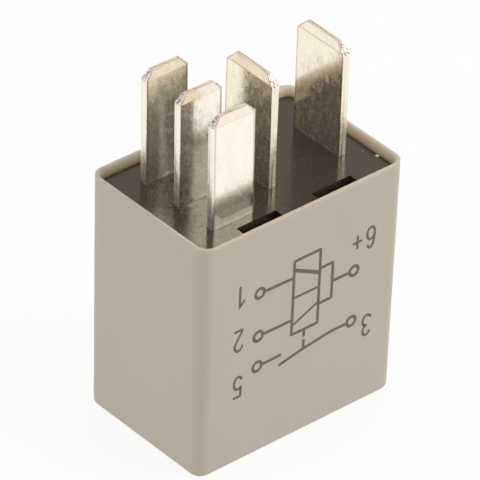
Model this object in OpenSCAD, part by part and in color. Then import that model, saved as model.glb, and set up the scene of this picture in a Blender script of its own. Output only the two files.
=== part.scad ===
// Plug-in automotive relay with five blade terminals: two windings on one coil work one make contact.
// It stands on the closed end of its cap, with the blades up. X runs along the long side, Y across it.
// The origin is the middle of the closed end.

/* [Cap] */
// Length of the cap at its open end
cap_l = 23.3; // [23.2:0.1:24.4]
// Width of the cap at its open end
cap_w = 15.8; // [15.7:0.1:16.6]
// Height of the cap
cap_h = 24.9; // [24.7:0.1:26]
// Radius of the four upright corners at the open end
corner_r = 1.4; // [1.3:0.05:1.6]
// How much each side leans in over the height
draft = 0.24; // [0.1:0.02:0.3]
// Wall thickness at the rim
rim_wall = 0.65; // [0.55:0.05:0.7]
// Wall thickness below the ledge that the base plate sits on
body_wall = 0.9; // [0.8:0.05:0.95]
// Thickness of the closed end
floor_t = 1; // [0.8:0.1:1.2]

/* [Base plate] */
// How far the plate lies below the rim
base_recess = 0.75; // [0.5:0.05:1]
// Thickness of the plate
base_t = 2.35; // [2.1:0.05:2.5]
// Length of each latch notch
notch_l = 4.5; // [4:0.1:4.8]
// Distance between the two notches on one side
notch_pitch = 8.6; // [8.2:0.1:9]

/* [Blades] */
// Width of a narrow blade
narrow_w = 4.8; // [4.6:0.05:4.9]
// Width of a wide blade
wide_w = 6.3; // [6.1:0.05:6.4]
// Thickness of every blade
blade_t = 0.8; // [0.75:0.05:0.8]
// How far the blades stand out of the base plate
blade_h = 11.6; // [10:0.1:12.5]
// Distance between two narrow blades
narrow_pitch = 4.5; // [4.5:0.05:4.6]

/* [Magnet] */
// Radius of the outer winding
coil_r = 5; // [4.8:0.05:5]
// Thickness of the yoke sheet
yoke_t = 1.4; // [1.2:0.05:1.4]
// Thickness of the armature
armature_t = 1.2; // [1.1:0.05:1.2]
// Angle between the armature and the pole while the relay is off
rest_tilt = 3.2; // [2.6:0.1:3.2]

/* [Hidden] */
$fn = 64;
over = 0.1;
fit = 0.02;

// Colours
grey_plastic = [0.70, 0.66, 0.61];
dark_plastic = [0.16, 0.14, 0.13];
tinned = [0.78, 0.75, 0.68];
iron = [0.62, 0.63, 0.64];
copper = [0.72, 0.40, 0.20];
spring_bronze = [0.80, 0.58, 0.34];
silver = [0.86, 0.86, 0.84];
cream_plastic = [0.86, 0.82, 0.70];

// Levels, counted up from the closed end
base_top = cap_h - base_recess;
base_bottom = base_top - base_t;
blade_top = base_top + blade_h;
yoke_top = base_bottom - 1.6;
hinge_z = floor_t + 3.98;
pole_face = hinge_z + 0.02;

// Places along the long side
narrow_x = -5.85;
middle_x = 0.15;
common_x = 8.3;
coil_x = 2.4;
yoke_face = 9.2;
contact_x = -7.4;
strip_x = -9.6;
notch_x = 0.25;

// Latch noses and notches
notch_y = 5.85;
bar_y = 6.5;
bar_t = 1;
nose_h = 0.85;
nose_reach = 0.6;

// Coil
core_r = 2.1;
spigot_r = 1.6;
pole_r = 3.8;
pole_t = 1;
tube_r = 2.75;
first_r = 3.9;
flange_t = 1;
flange_y = 5.6;
flange_l = 10.3;
coil_top = yoke_top - yoke_t;
coil_bottom = pole_face + pole_t;
lead_gap = 0.7;

// Terminal tails and wires
tail_w = 1.3;
tail_end = coil_top - 2.5;
bead_r = 0.95;
bead_z = tail_end + 0.45;
wire_r = 0.16;
inner_lead_z = coil_top - flange_t - 0.25;

// Leaf spring and rivets
leaf_t = 0.25;
leaf_bend = 0.45;
leaf_half = 3.2;
leaf_tip = 18.2;
leaf_tip_r = 1.9;
leaf_up = 8;
yoke_rivet_z = hinge_z + 5.8;
yoke_rivet_y = 2;
yoke_rivet_r = 0.75;
heel_rivet = [2.25, 2.4];
toe_rivet = [11.8, 1.6];
arm_rivet_r = 0.55;
contact_r = 1.5;
contact_h = 0.6;
shank_r = 0.8;

// Height of the fixed contact's face: the moving contact meets it when the armature is pulled in
fixed_face = hinge_z - armature_t + contact_h + fit;
fixed_foot = fixed_face + contact_h;
stop_top = floor_t + 1.15;

// Box between two corners
module block(low, high) {
    translate(low) cube(high - low);
}

// Flat plate with round corners, lying on z = 0
module rounded_plate(l, w, t, r) {
    linear_extrude(t) {
        square([l - 2 * r, w], center = true);
        square([l, w - 2 * r], center = true);
        for (x = [-1, 1], y = [-1, 1])
            translate([x * (l / 2 - r), y * (w / 2 - r)]) circle(r);
    }
}

// Points of an arc around a centre, from one angle to another
function arc(c, r, a0, a1, n = 6) =
    [for (i = [0:n]) let (a = a0 + (a1 - a0) * i / n) c + r * [cos(a), sin(a)]];

// Places whatever follows in the armature's own frame: hinge line at the origin, open by the rest angle
module at_armature() {
    translate([yoke_face, 0, hinge_z]) rotate([0, -rest_tilt, 0]) children();
}

// Distance of the outer face from the corner's own axis, at a height
function outer_u(z) = corner_r - draft * (1 - z / cap_h);

// Section through the cap's wall and floor. Its x is the distance out from the corner axes.
function cap_section() = concat(
    [[0, 0]],
    arc([outer_u(0) - 0.5, 0.5], 0.5, -90, 0),
    arc([outer_u(cap_h) - 0.3, cap_h - 0.3], 0.3, 0, 90),
    arc([outer_u(cap_h) - rim_wall + 0.15, cap_h - 0.15], 0.15, 90, 180, 4),
    [[outer_u(base_bottom) - rim_wall - 0.03, base_bottom],
     [outer_u(base_bottom) - body_wall, base_bottom],
     [outer_u(floor_t) - body_wall - 0.08, floor_t],
     [0, floor_t]]);

// Thin drafted housing: its wall section swept round the rounded rectangle, closed by the floor
module cap() {
    side_l = cap_l - 2 * corner_r;
    side_w = cap_w - 2 * corner_r;
    color(grey_plastic) {
        for (c = [[1, 1, 0], [-1, 1, 90], [-1, -1, 180], [1, -1, 270]])
            translate([c[0] * side_l / 2, c[1] * side_w / 2, 0]) rotate([0, 0, c[2]])
                rotate_extrude(angle = 90) polygon(cap_section());
        for (s = [0, 180]) rotate([0, 0, s]) {
            translate([side_l / 2, side_w / 2, 0]) rotate([90, 0, 0])
                linear_extrude(side_w) polygon(cap_section());
            translate([-side_l / 2, side_w / 2, 0]) rotate([90, 0, 90])
                linear_extrude(side_l) polygon(cap_section());
        }
        block([-side_l / 2, -side_w / 2, 0], [side_l / 2, side_w / 2, floor_t]);
        for (x = [-1, 1], y = [-1, 1]) latch_nose(x, y);
    }
}

// Wedge inside the long wall that snaps over the bar in the base plate's notch
module latch_nose(x, y) {
    wall_y = cap_w / 2 - rim_wall;
    low = base_bottom + bar_t + fit;
    translate([notch_x + x * notch_pitch / 2, y * wall_y, low])
        rotate([90, 0, y > 0 ? 90 : -90])
            translate([0, 0, -notch_l / 2 + 0.25]) linear_extrude(notch_l - 0.5)
                polygon([[0.2, 0], [-nose_reach, 0], [-nose_reach, 0.15], [-0.05, nose_h], [0.2, nose_h]]);
}

// Dark moulded plate that carries the blades
module base_plate() {
    l = cap_l - 2 * rim_wall - 0.24;
    w = cap_w - 2 * rim_wall - 0.24;
    color(dark_plastic) {
        difference() {
            translate([0, 0, base_bottom]) rounded_plate(l, w, base_t, corner_r - rim_wall);
            for (x = [-1, 1], y = [-1, 1]) latch_notch(x, y, w);
            blade_slots();
            stop_pocket();
        }
        coil_rails();
        coil_arms();
    }
}

// Notch at the edge of the plate: open at the top, with a bar left across its foot
module latch_notch(x, y, w) {
    c = notch_x + x * notch_pitch / 2;
    reach = w / 2 + over;
    inner = min(y * notch_y, y * reach);
    outer = max(y * notch_y, y * reach);
    block([c - notch_l / 2, inner, base_bottom + bar_t], [c + notch_l / 2, outer, base_top + over]);
    block([c - notch_l / 2, min(y * notch_y, y * bar_y), base_bottom - over],
          [c + notch_l / 2, max(y * notch_y, y * bar_y), base_bottom + bar_t + over]);
}

module blade_slots() {
    t = blade_t / 2 + fit;
    for (y = [-1, 0, 1]) translate([narrow_x, y * narrow_pitch, 0])
        block([-narrow_w / 2 - fit, -t, base_bottom - over], [narrow_w / 2 + fit, t, base_top + over]);
    for (x = [middle_x, common_x]) translate([x, 0, 0])
        block([-t, -wide_w / 2 - fit, base_bottom - over], [t, wide_w / 2 + fit, base_top + over]);
}

// Blind pocket that holds the head of the stop strip
module stop_pocket() {
    block([strip_x - blade_t / 2 - fit, 0.8 - fit, base_bottom - over],
          [strip_x + blade_t / 2 + fit, 3.7 + fit, base_bottom + 1.2]);
}

// Two rails under the plate that bear on the yoke
module coil_rails() {
    for (y = [-1, 1])
        block([-1.2, min(y * 3.9, y * 4.7), yoke_top], [6.5, max(y * 3.9, y * 4.7), base_bottom]);
}

// Two arms under the plate that snap beneath the bobbin's upper flange
module coil_arms() {
    hook_z = coil_top - flange_t - 0.05;
    for (s = [0, 180]) translate([0.2, 0, 0]) rotate([0, 0, s])
        translate([-1.6, 0, 0]) rotate([90, 0, 90]) linear_extrude(3.2)
            polygon([[flange_y + 0.1, base_bottom], [flange_y + 0.1, hook_z], [flange_y - 0.3, hook_z],
                     [flange_y - 0.3, hook_z - 0.3], [flange_y + 0.3, hook_z - 0.9],
                     [flange_y + 0.95, hook_z - 0.9], [flange_y + 0.95, base_bottom]]);
}

// Straight flat blade with cut corners, a coined tip and broken edges.
// Its width lies along X and its thickness along Y.
module blade(w, foot, cut) {
    tip_t = 0.4;
    coin = 0.85;
    edge = 0.12;
    h = blade_top;
    intersection() {
        rotate([90, 0, 0]) linear_extrude(blade_t, center = true)
            polygon([[-w / 2, foot], [w / 2, foot], [w / 2, h - cut], [w / 2 - cut, h],
                     [cut - w / 2, h], [-w / 2, h - cut]]);
        rotate([90, 0, 90]) linear_extrude(w, center = true)
            polygon([[-blade_t / 2, foot], [blade_t / 2, foot], [blade_t / 2, h - coin],
                     [tip_t / 2, h], [-tip_t / 2, h], [-blade_t / 2, h - coin]]);
        translate([0, 0, foot]) linear_extrude(h - foot)
            polygon([[w / 2, blade_t / 2 - edge], [w / 2 - edge, blade_t / 2],
                     [edge - w / 2, blade_t / 2], [-w / 2, blade_t / 2 - edge],
                     [-w / 2, edge - blade_t / 2], [edge - w / 2, -blade_t / 2],
                     [w / 2 - edge, -blade_t / 2], [w / 2, edge - blade_t / 2]]);
    }
}

// Narrow blade with shoulders under the plate and a tail that runs down to the coil
module coil_terminal(y) {
    shoulder = 0.4;
    color(tinned) translate([narrow_x, y, 0]) {
        blade(narrow_w, base_bottom, 0.8);
        rotate([90, 0, 0]) linear_extrude(blade_t, center = true)
            polygon([[-narrow_w / 2 - shoulder, base_bottom], [-narrow_w / 2 - shoulder, base_bottom - 0.5],
                     [-tail_w / 2, base_bottom - 0.9], [-tail_w / 2, tail_end + 0.3],
                     [-tail_w / 2 + 0.3, tail_end], [tail_w / 2 - 0.3, tail_end],
                     [tail_w / 2, tail_end + 0.3], [tail_w / 2, base_bottom - 0.9],
                     [narrow_w / 2 + shoulder, base_bottom - 0.5], [narrow_w / 2 + shoulder, base_bottom]]);
    }
}

module terminal_1() {
    coil_terminal(-narrow_pitch);
}

module terminal_2() {
    coil_terminal(narrow_pitch);
}

module terminal_6() {
    coil_terminal(0);
}

// Bend of a strip round the Y direction, with its centre at the origin.
// The angles are counted from +X towards +Z.
module strip_bend(r, t, y0, y1, start, turn = 90) {
    rotate([90, 0, 0]) rotate([0, 0, start])
        rotate_extrude(angle = turn) translate([r, -y1]) square([t, y1 - y0]);
}

// Wide middle blade. Under the plate it turns flat, passes between two coil terminals,
// drops beside the coil and ends in the foot of the fixed contact.
module terminal_5() {
    t = blade_t;
    r = 0.2;
    bend = 0.4;
    flat_top = base_bottom - 0.25;
    flat_bottom = flat_top - t;
    strip_y0 = -3.7;
    strip_y1 = -0.8;
    foot_y1 = 1.7;
    blade_in = middle_x - t / 2;
    leg_in = strip_x + t / 2;
    leg_out = strip_x - t / 2;
    color(tinned) {
        translate([middle_x, 0, 0]) rotate([0, 0, 90]) blade(wide_w, flat_top + r, 1);
        translate([blade_in - r, 0, flat_top + r]) strip_bend(r, t, -wide_w / 2, wide_w / 2, -90);
        translate([0, 0, flat_bottom]) linear_extrude(t)
            polygon([[blade_in - r, wide_w / 2], [blade_in - r - 0.7, wide_w / 2], [-2.6, strip_y1],
                     [leg_in + bend, strip_y1], [leg_in + bend, strip_y0], [-2.2, strip_y0],
                     [blade_in - r - 0.7, -wide_w / 2], [blade_in - r, -wide_w / 2]]);
        translate([leg_in + bend, 0, flat_bottom - bend]) strip_bend(bend, t, strip_y0, strip_y1, 90);
        block([leg_out, strip_y0, fixed_foot + t + bend], [leg_in, strip_y1, flat_bottom - bend]);
        translate([leg_in + bend, 0, fixed_foot + t + bend]) strip_bend(bend, t, strip_y0, strip_y1, 180);
        difference() {
            translate([0, 0, fixed_foot]) linear_extrude(t)
                polygon([[leg_in + bend, strip_y0], [contact_x + 1, strip_y0],
                         [contact_x + 1.7, strip_y0 + 0.7], [contact_x + 1.7, foot_y1 - 0.7],
                         [contact_x + 1, foot_y1], [leg_in + bend, foot_y1]]);
            translate([contact_x, 0, fixed_foot - over]) cylinder(r = shank_r + 0.01, h = t + 2 * over);
        }
    }
}

// Wide outer blade with shoulders and a foot welded flat on the yoke
module terminal_3() {
    t = blade_t;
    r = 0.2;
    shoulder = 0.4;
    bend_z = yoke_top + t + r;
    color(tinned) {
        translate([common_x, 0, 0]) rotate([0, 0, 90]) blade(wide_w, bend_z, 1);
        block([common_x - t / 2, -wide_w / 2 - shoulder, bend_z],
              [common_x + t / 2, wide_w / 2 + shoulder, base_bottom]);
        translate([common_x - t / 2 - r, 0, bend_z]) strip_bend(r, t, -wide_w / 2, wide_w / 2, -90);
        block([5, -wide_w / 2, yoke_top], [common_x - t / 2 - r, wide_w / 2, yoke_top + t]);
    }
}

// Moulded former: a tube between two flanges, with a shelf that the coil terminals pass through
module bobbin() {
    shelf_x = narrow_x - 1.4;
    flange_low = coil_x + coil_r + 0.05 - flange_l;
    color(cream_plastic) difference() {
        union() {
            translate([coil_x, 0, coil_bottom]) cylinder(r = tube_r, h = coil_top - coil_bottom);
            translate([flange_low + flange_l / 2, 0, coil_bottom])
                rounded_plate(flange_l, 2 * flange_y, flange_t, 1.5);
            translate([flange_low + flange_l / 2, 0, coil_top - flange_t])
                rounded_plate(flange_l, 2 * flange_y, flange_t, 0.6);
            block([shelf_x, -flange_y, coil_top - flange_t], [flange_low + 1, flange_y, coil_top]);
        }
        translate([coil_x, 0, coil_bottom - over])
            cylinder(r = core_r + 0.03, h = coil_top - coil_bottom + 2 * over);
        for (y = [-1, 0, 1]) translate([narrow_x, y * narrow_pitch, coil_top - flange_t - over])
            linear_extrude(flange_t + 2 * over) square([tail_w + 0.1, blade_t + 0.1], center = true);
        for (y = [-1, 1]) translate([narrow_x + 1.5, y * flange_y, coil_top - flange_t - over])
            cylinder(r = 0.5, h = flange_t + 2 * over);
    }
}

// Round core with its pole disc at the armature's end and a riveted head on the yoke
module core() {
    color(iron) translate([coil_x, 0, 0]) rotate_extrude()
        polygon([[0, pole_face], [pole_r - 0.3, pole_face], [pole_r, pole_face + 0.3],
                 [pole_r, coil_bottom], [core_r, coil_bottom], [core_r, coil_top],
                 [spigot_r, coil_top], [spigot_r, yoke_top], [core_r, yoke_top],
                 [1.8, yoke_top + 0.35], [0.9, yoke_top + 0.45], [0, yoke_top + 0.3]]);
}

// L-shaped frame: flat leg over the coil, upright leg beside it, and two ears that guide the armature
module yoke() {
    half = 4.8;
    low = hinge_z + 0.02;
    bend = 0.3;
    color(iron) difference() {
        union() {
            block([-1.2, -half, yoke_top - yoke_t], [yoke_face - yoke_t - bend, half, yoke_top]);
            translate([yoke_face - yoke_t - bend, 0, yoke_top - yoke_t - bend])
                strip_bend(bend, yoke_t, -half, half, 0);
            block([yoke_face - yoke_t, -half, low], [yoke_face, half, yoke_top - yoke_t - bend]);
            for (y = [-1, 1])
                block([yoke_face - yoke_t, min(y * 4.25, y * half), low - 1.3],
                      [yoke_face, max(y * 4.25, y * half), low + over]);
        }
        translate([coil_x, 0, yoke_top - yoke_t - over])
            cylinder(r = spigot_r + 0.01, h = yoke_t + 2 * over);
        for (y = [-1, 1]) translate([yoke_face - yoke_t - over, y * yoke_rivet_y, yoke_rivet_z])
            rotate([0, 90, 0]) cylinder(r = yoke_rivet_r + 0.01, h = yoke_t + 2 * over);
        for (y = [-1, 1]) translate([-1.2, y * half, yoke_top - yoke_t - over])
            rotate([0, 0, 45]) cube([1.4, 1.4, 2 * yoke_t + 2 * over], center = true);
    }
}

module first_winding() {
    color(copper) translate([coil_x, 0, coil_bottom + flange_t + 0.05]) difference() {
        cylinder(r = first_r, h = coil_top - coil_bottom - 2 * flange_t - 0.1);
        translate([0, 0, -over]) cylinder(r = tube_r + 0.03, h = coil_top - coil_bottom);
    }
}

module second_winding() {
    color(copper) translate([coil_x, 0, coil_bottom + flange_t + 0.05]) difference() {
        cylinder(r = coil_r, h = coil_top - coil_bottom - 2 * flange_t - 0.1 - lead_gap);
        translate([0, 0, -over]) cylinder(r = first_r + 0.05, h = coil_top - coil_bottom);
    }
}

// Straight round wire between two points
module wire(from, to) {
    d = to - from;
    translate(from) rotate([0, acos(d[2] / norm(d)), atan2(d[1], d[0])])
        cylinder(r = wire_r, h = norm(d), $fn = 24);
}

// Point beside a winding, at a radius and an angle round the coil
function beside_coil(r, a, z) = [coil_x + (r + wire_r + 0.02) * cos(a), (r + wire_r + 0.02) * sin(a), z];

// Point inside the solder bead of the tail at y
function in_bead(y, z = bead_z) = [narrow_x + 0.87, y, z];

module first_wire() {
    wire(beside_coil(first_r, 220, inner_lead_z), in_bead(-narrow_pitch));
}

module second_wire() {
    wire(beside_coil(coil_r, 130, bead_z - 0.1), in_bead(narrow_pitch));
}

module common_wires() {
    wire(beside_coil(first_r, 185, inner_lead_z), in_bead(-0.3));
    wire(beside_coil(coil_r, 175, bead_z - 0.5), in_bead(0.3, bead_z - 0.3));
}

module first_lead() {
    color(copper) first_wire();
}

module second_lead() {
    color(copper) second_wire();
}

module common_leads() {
    color(copper) common_wires();
}

// Solder beads round the ends of the tails, with the tails and wires taken out of them
module solder_joints() {
    color(silver) difference() {
        for (y = [-1, 0, 1]) translate([narrow_x, y * narrow_pitch, bead_z]) sphere(r = bead_r);
        for (y = [-1, 0, 1]) coil_terminal(y * narrow_pitch);
        first_wire();
        second_wire();
        common_wires();
    }
}

// Flat hinged plate. Its heel is narrower, to turn between the yoke's ears, and has a bevelled lower edge.
module armature() {
    toe = 12.6;
    heel = 0.05;
    half = 4.6;
    heel_half = 4.1;
    neck = 2.1;
    color(iron) at_armature() difference() {
        intersection() {
            translate([0, 0, -armature_t]) linear_extrude(armature_t)
                polygon([[-heel, -heel_half], [-neck, -heel_half], [-neck, -half], [1.2 - toe, -half],
                         [-toe, 1.6 - half], [-toe, half - 1.6], [1.2 - toe, half], [-neck, half],
                         [-neck, heel_half], [-heel, heel_half]]);
            translate([0, half, 0]) rotate([90, 0, 0]) linear_extrude(2 * half)
                polygon([[-toe, 0], [-heel, 0], [-heel, -0.65], [-heel + 0.6 - armature_t, -armature_t],
                         [-toe, -armature_t]]);
        }
        for (p = [heel_rivet, toe_rivet], y = [-1, 1]) translate([-p[0], y * p[1], -armature_t - over])
            cylinder(r = arm_rivet_r + 0.01, h = armature_t + 2 * over);
    }
}

// Leaf spring in one bent strip: riveted flat on the yoke, turned round the armature's heel,
// riveted under the armature and run out to the moving contact
module contact_spring() {
    // The bend's centre lies on both its straight legs' inner faces, one bend radius off each
    centre_x = yoke_face - leaf_bend;
    along = (centre_x - yoke_face - (leaf_bend - armature_t) * sin(-rest_tilt)) / cos(rest_tilt);
    centre_z = hinge_z + along * sin(rest_tilt) + (leaf_bend - armature_t) * cos(rest_tilt);
    color(spring_bronze) difference() {
        union() {
            block([yoke_face, -leaf_half, centre_z], [yoke_face + leaf_t, leaf_half, hinge_z + leaf_up]);
            translate([centre_x, 0, centre_z])
                strip_bend(leaf_bend, leaf_t, -leaf_half, leaf_half, rest_tilt - 90, 90 - rest_tilt);
            at_armature() translate([0, 0, -armature_t - leaf_t]) linear_extrude(leaf_t) {
                polygon([[along, -leaf_half], [along, leaf_half], [-12.4, leaf_half], [-14.2, leaf_tip_r],
                         [leaf_tip_r - leaf_tip, leaf_tip_r], [leaf_tip_r - leaf_tip, -leaf_tip_r],
                         [-14.2, -leaf_tip_r], [-12.4, -leaf_half]]);
                translate([leaf_tip_r - leaf_tip, 0]) circle(leaf_tip_r);
            }
        }
        block([yoke_face - 1.6, -1.3, floor_t], [yoke_face + 1, 1.3, hinge_z + 3]);
        for (y = [-1, 1]) translate([yoke_face - over, y * yoke_rivet_y, yoke_rivet_z])
            rotate([0, 90, 0]) cylinder(r = yoke_rivet_r + 0.03, h = leaf_t + 2 * over);
        at_armature() {
            for (p = [heel_rivet, toe_rivet], y = [-1, 1])
                translate([-p[0], y * p[1], -armature_t - leaf_t - over])
                    cylinder(r = arm_rivet_r + 0.01, h = leaf_t + 2 * over);
            translate([contact_x - yoke_face, 0, -armature_t - leaf_t - over])
                cylinder(r = shank_r + 0.01, h = leaf_t + 2 * over);
        }
    }
}

// Rivet on the Z axis: its shank runs from one level to another, with a domed head at each end.
// A head is given as radius and height.
module rivet(r, low, high, low_head, high_head) {
    rotate_extrude() polygon([
        [0, low - low_head[1]], [low_head[0] * 0.6, low - low_head[1]],
        [low_head[0], low - low_head[1] * 0.4], [low_head[0], low], [r, low], [r, high],
        [high_head[0], high], [high_head[0], high + high_head[1] * 0.4],
        [high_head[0] * 0.6, high + high_head[1]], [0, high + high_head[1]]]);
}

module armature_rivets() {
    color(iron) at_armature() for (p = [heel_rivet, toe_rivet], y = [-1, 1]) translate([-p[0], y * p[1], 0])
        rivet(arm_rivet_r, -armature_t - leaf_t, 0, [1, 0.35], [0.72, 0.22]);
}

module yoke_rivets() {
    color(iron) for (y = [-1, 1]) translate([yoke_face, y * yoke_rivet_y, yoke_rivet_z]) rotate([0, 90, 0])
        rotate_extrude() polygon([[0, -yoke_t], [yoke_rivet_r, -yoke_t], [yoke_rivet_r, leaf_t + 0.02],
                                  [1.3, leaf_t + 0.02], [1.3, leaf_t + 0.25], [0.8, leaf_t + 0.5],
                                  [0, leaf_t + 0.5]]);
}

module moving_contact() {
    color(silver) at_armature() translate([contact_x - yoke_face, 0, 0])
        rivet(shank_r, -armature_t - leaf_t, -armature_t, [1.2, 0.35], [contact_r, contact_h]);
}

module fixed_contact() {
    color(silver) translate([contact_x, 0, 0])
        rivet(shank_r, fixed_foot, fixed_foot + blade_t, [contact_r, contact_h], [1.2, 0.3]);
}

// Bent strip, set in the base plate, whose foot holds the open contact at rest
module rest_stop() {
    t = blade_t;
    bend = 0.4;
    leg_in = strip_x + t / 2;
    strip_y0 = 0.8;
    strip_y1 = 3.7;
    color(tinned) {
        block([strip_x - t / 2, strip_y0, stop_top + bend], [leg_in, strip_y1, base_bottom + 1.1]);
        translate([leg_in + bend, 0, stop_top + bend]) strip_bend(bend, t, strip_y0, strip_y1, 180);
        translate([0, 0, stop_top - t]) linear_extrude(t)
            polygon([[leg_in + bend, -1.6], [contact_x + 0.7, -1.6], [contact_x + 1.4, -0.9],
                     [contact_x + 1.4, strip_y1 - 0.7], [contact_x + 0.7, strip_y1],
                     [leg_in + bend, strip_y1]]);
    }
}

cap();
base_plate();
terminal_1();
terminal_2();
terminal_6();
terminal_5();
terminal_3();
bobbin();
core();
yoke();
first_winding();
second_winding();
first_lead();
second_lead();
common_leads();
solder_joints();
armature();
contact_spring();
armature_rivets();
yoke_rivets();
moving_contact();
fixed_contact();
rest_stop();
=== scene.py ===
import bmesh
import bpy
import numpy as np
from bpy.props import FloatProperty, FloatVectorProperty
from mathutils import Matrix, Vector


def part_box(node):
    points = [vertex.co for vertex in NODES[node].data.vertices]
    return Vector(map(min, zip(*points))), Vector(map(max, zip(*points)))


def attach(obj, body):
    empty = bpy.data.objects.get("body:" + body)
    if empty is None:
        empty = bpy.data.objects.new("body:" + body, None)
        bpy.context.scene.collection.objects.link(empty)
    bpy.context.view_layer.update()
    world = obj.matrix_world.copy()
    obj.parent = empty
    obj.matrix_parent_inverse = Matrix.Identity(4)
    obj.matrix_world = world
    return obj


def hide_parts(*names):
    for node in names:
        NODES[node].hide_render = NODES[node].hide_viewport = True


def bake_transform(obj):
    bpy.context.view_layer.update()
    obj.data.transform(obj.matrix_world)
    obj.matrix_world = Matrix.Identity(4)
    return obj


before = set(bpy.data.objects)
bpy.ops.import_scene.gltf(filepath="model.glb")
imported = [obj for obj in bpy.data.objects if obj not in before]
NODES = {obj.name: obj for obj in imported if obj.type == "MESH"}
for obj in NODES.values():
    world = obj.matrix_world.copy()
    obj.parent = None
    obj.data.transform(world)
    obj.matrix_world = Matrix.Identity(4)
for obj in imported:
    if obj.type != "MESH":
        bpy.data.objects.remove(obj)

bl_info = {
    "name": "Automotive Relay",
    "version": (1, 0, 0),
    "blender": (4, 5, 0),
    "location": "3D View > Sidebar > Relay",
    "description": "Dresses the packed frame of a plug-in relay with five blade terminals",
    "category": "Object",
}

MM = 0.001
SHARP = float(np.radians(34))
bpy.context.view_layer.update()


def box_mm(node):
    """Lowest and highest corner of a CAD node, in mm."""
    low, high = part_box(node)
    return np.array(low) / MM, np.array(high) / MM


# The cap and the base plate, in mm

HALF_L, HALF_W, CAP_H = (float(v) for v in box_mm("cap")[1])
CORNER_R = 1.4
DRAFT = 0.24
RIM_WALL = 0.65
BODY_WALL = 0.9
FLOOR_T = 1.0
FLOOR_FILLET = 0.08
LIP_WIDE = 0.47
PLATE_TOP = float(box_mm("base_plate")[1][2])
PLATE_T = 2.35
PLATE_UNDER = PLATE_TOP - PLATE_T
NOSE_MIDDLE = 0.25
NOSE_OFF_MIDDLE = 4.3
NOSE_HALF = 2.0
NOSE_LIFT = 1.02

# The blades and the mechanism, in mm

BLADE_TOP = float(box_mm("terminal_3")[1][2])
BLADE_T = 0.8
TIP_T = 0.4
# How far the coining reaches down from a tip
COIN = 0.85
# How much thicker a blade is where it is pressed into the plate, and how far above the plate that runs out
PRESS_FIT = 0.04
RUN_OUT = 0.35
COIL_BLADE_X = -5.85
COIL_BLADE_OFF = 4.5
NARROW_HALF = 2.4
NARROW_CROP = 0.8
CONTACT_BLADE_X = 0.15
COMMON_BLADE_X = 8.3
WIDE_HALF = 3.15
WIDE_CROP = 1.0
# The rise that a sudden change of width takes, and where below a tip the rows of points lie close
STEP = 0.001
TIP_EDGE = 0.11
YOKE_TOP = 20.2
HINGE_Z = 4.98
WINDING_INSIDE = {"first_winding": 2.78, "second_winding": 3.95}

# Colours that a user has no need to change

COINED_TIN = (0.97, 0.86, 0.73)
SHEARED_TIN = (0.96, 0.89, 0.77)
SEAM_BROWN = (0.58, 0.41, 0.27)
PIT_BROWN = (0.34, 0.28, 0.21)
PALE_TEAR = (0.98, 0.94, 0.86)
DULL_TEAR = (0.66, 0.61, 0.54)
BRONZE_STAIN = (0.52, 0.33, 0.20)
TARNISH = (0.48, 0.44, 0.38)
FLUX = (0.42, 0.33, 0.20)
CREAM = (0.72, 0.66, 0.50)
SOLDER = (0.80, 0.79, 0.76)
BRONZE = (0.76, 0.52, 0.28)
SILVER = (0.86, 0.85, 0.82)
MINT = (0.42, 0.52, 0.42)
GREY = (0.26, 0.21, 0.18)
AMBER = (0.60, 0.38, 0.20)

# Specks of dust on the base plate: x, y and radius in mm, and colour

DUST = [(10.74, -5.02, 0.21, MINT), (10.17, -3.68, 0.08, GREY), (-8.5, 2.95, 0.06, AMBER)]


# Surfaces worked out as whole arrays

def grid_faces(rows, columns, loop_rows=False, loop_columns=False):
    """Quads between neighbouring points of a grid, its last row or column joined to the first if asked."""
    r = np.arange(rows if loop_rows else rows - 1)
    c = np.arange(columns if loop_columns else columns - 1)
    r, c = np.meshgrid(r, c, indexing="ij")
    r2, c2 = (r + 1) % rows, (c + 1) % columns
    quads = np.stack([r * columns + c, r * columns + c2, r2 * columns + c2, r2 * columns + c], axis=-1)
    return quads.reshape(-1, 4)


def turned_over(faces):
    """The same faces, seen from their other side."""
    return [list(face)[::-1] for face in faces]


def arc(centre, radii, start, end, steps):
    """Points centre + radii * (cos a, sin a) with a going evenly from start to end degrees."""
    a = np.radians(np.linspace(start, end, steps))
    return np.asarray(centre) + np.stack([np.cos(a), np.sin(a)], axis=-1) * np.asarray(radii)


def unit(vectors):
    """Each vector divided by its length."""
    return vectors / np.linalg.norm(vectors, axis=-1, keepdims=True)


def spaced(points, step):
    """The polyline's own points with evenly spaced ones between them, no further apart than step."""
    points = np.asarray(points, float)
    parts = [points[:1]]
    for a, b in zip(points[:-1], points[1:]):
        n = max(1, int(np.ceil(np.linalg.norm(b - a) / step)))
        t = np.linspace(0, 1, n + 1)[1:, None]
        parts.append(a + (b - a) * t)
    return np.concatenate(parts)


def linked(name, data):
    """New object with the given data, in the scene."""
    made = bpy.data.objects.new(name, data)
    bpy.context.scene.collection.objects.link(made)
    return made


def make_piece(name, points, faces, material, stands_for=(), values=None, flat=False):
    """Piece of the housing, from points in mm and a list of faces. values are numbers kept at its points."""
    mesh = bpy.data.meshes.new(name)
    mesh.from_pydata((np.asarray(points) * MM).tolist(), [], [list(map(int, f)) for f in faces])
    mesh.polygons.foreach_set("use_smooth", np.full(len(mesh.polygons), not flat))
    for key, numbers in (values or {}).items():
        layer = mesh.attributes.new(key, "FLOAT", "POINT")
        layer.data.foreach_set("value", np.asarray(numbers, np.float32).ravel())
    mesh.update()
    if not flat:
        mesh.set_sharp_from_angle(angle=SHARP)
    mesh.materials.append(material)
    piece = linked(name, mesh)
    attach(piece, "housing")
    if stands_for:
        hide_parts(*stands_for)
    return piece


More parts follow.
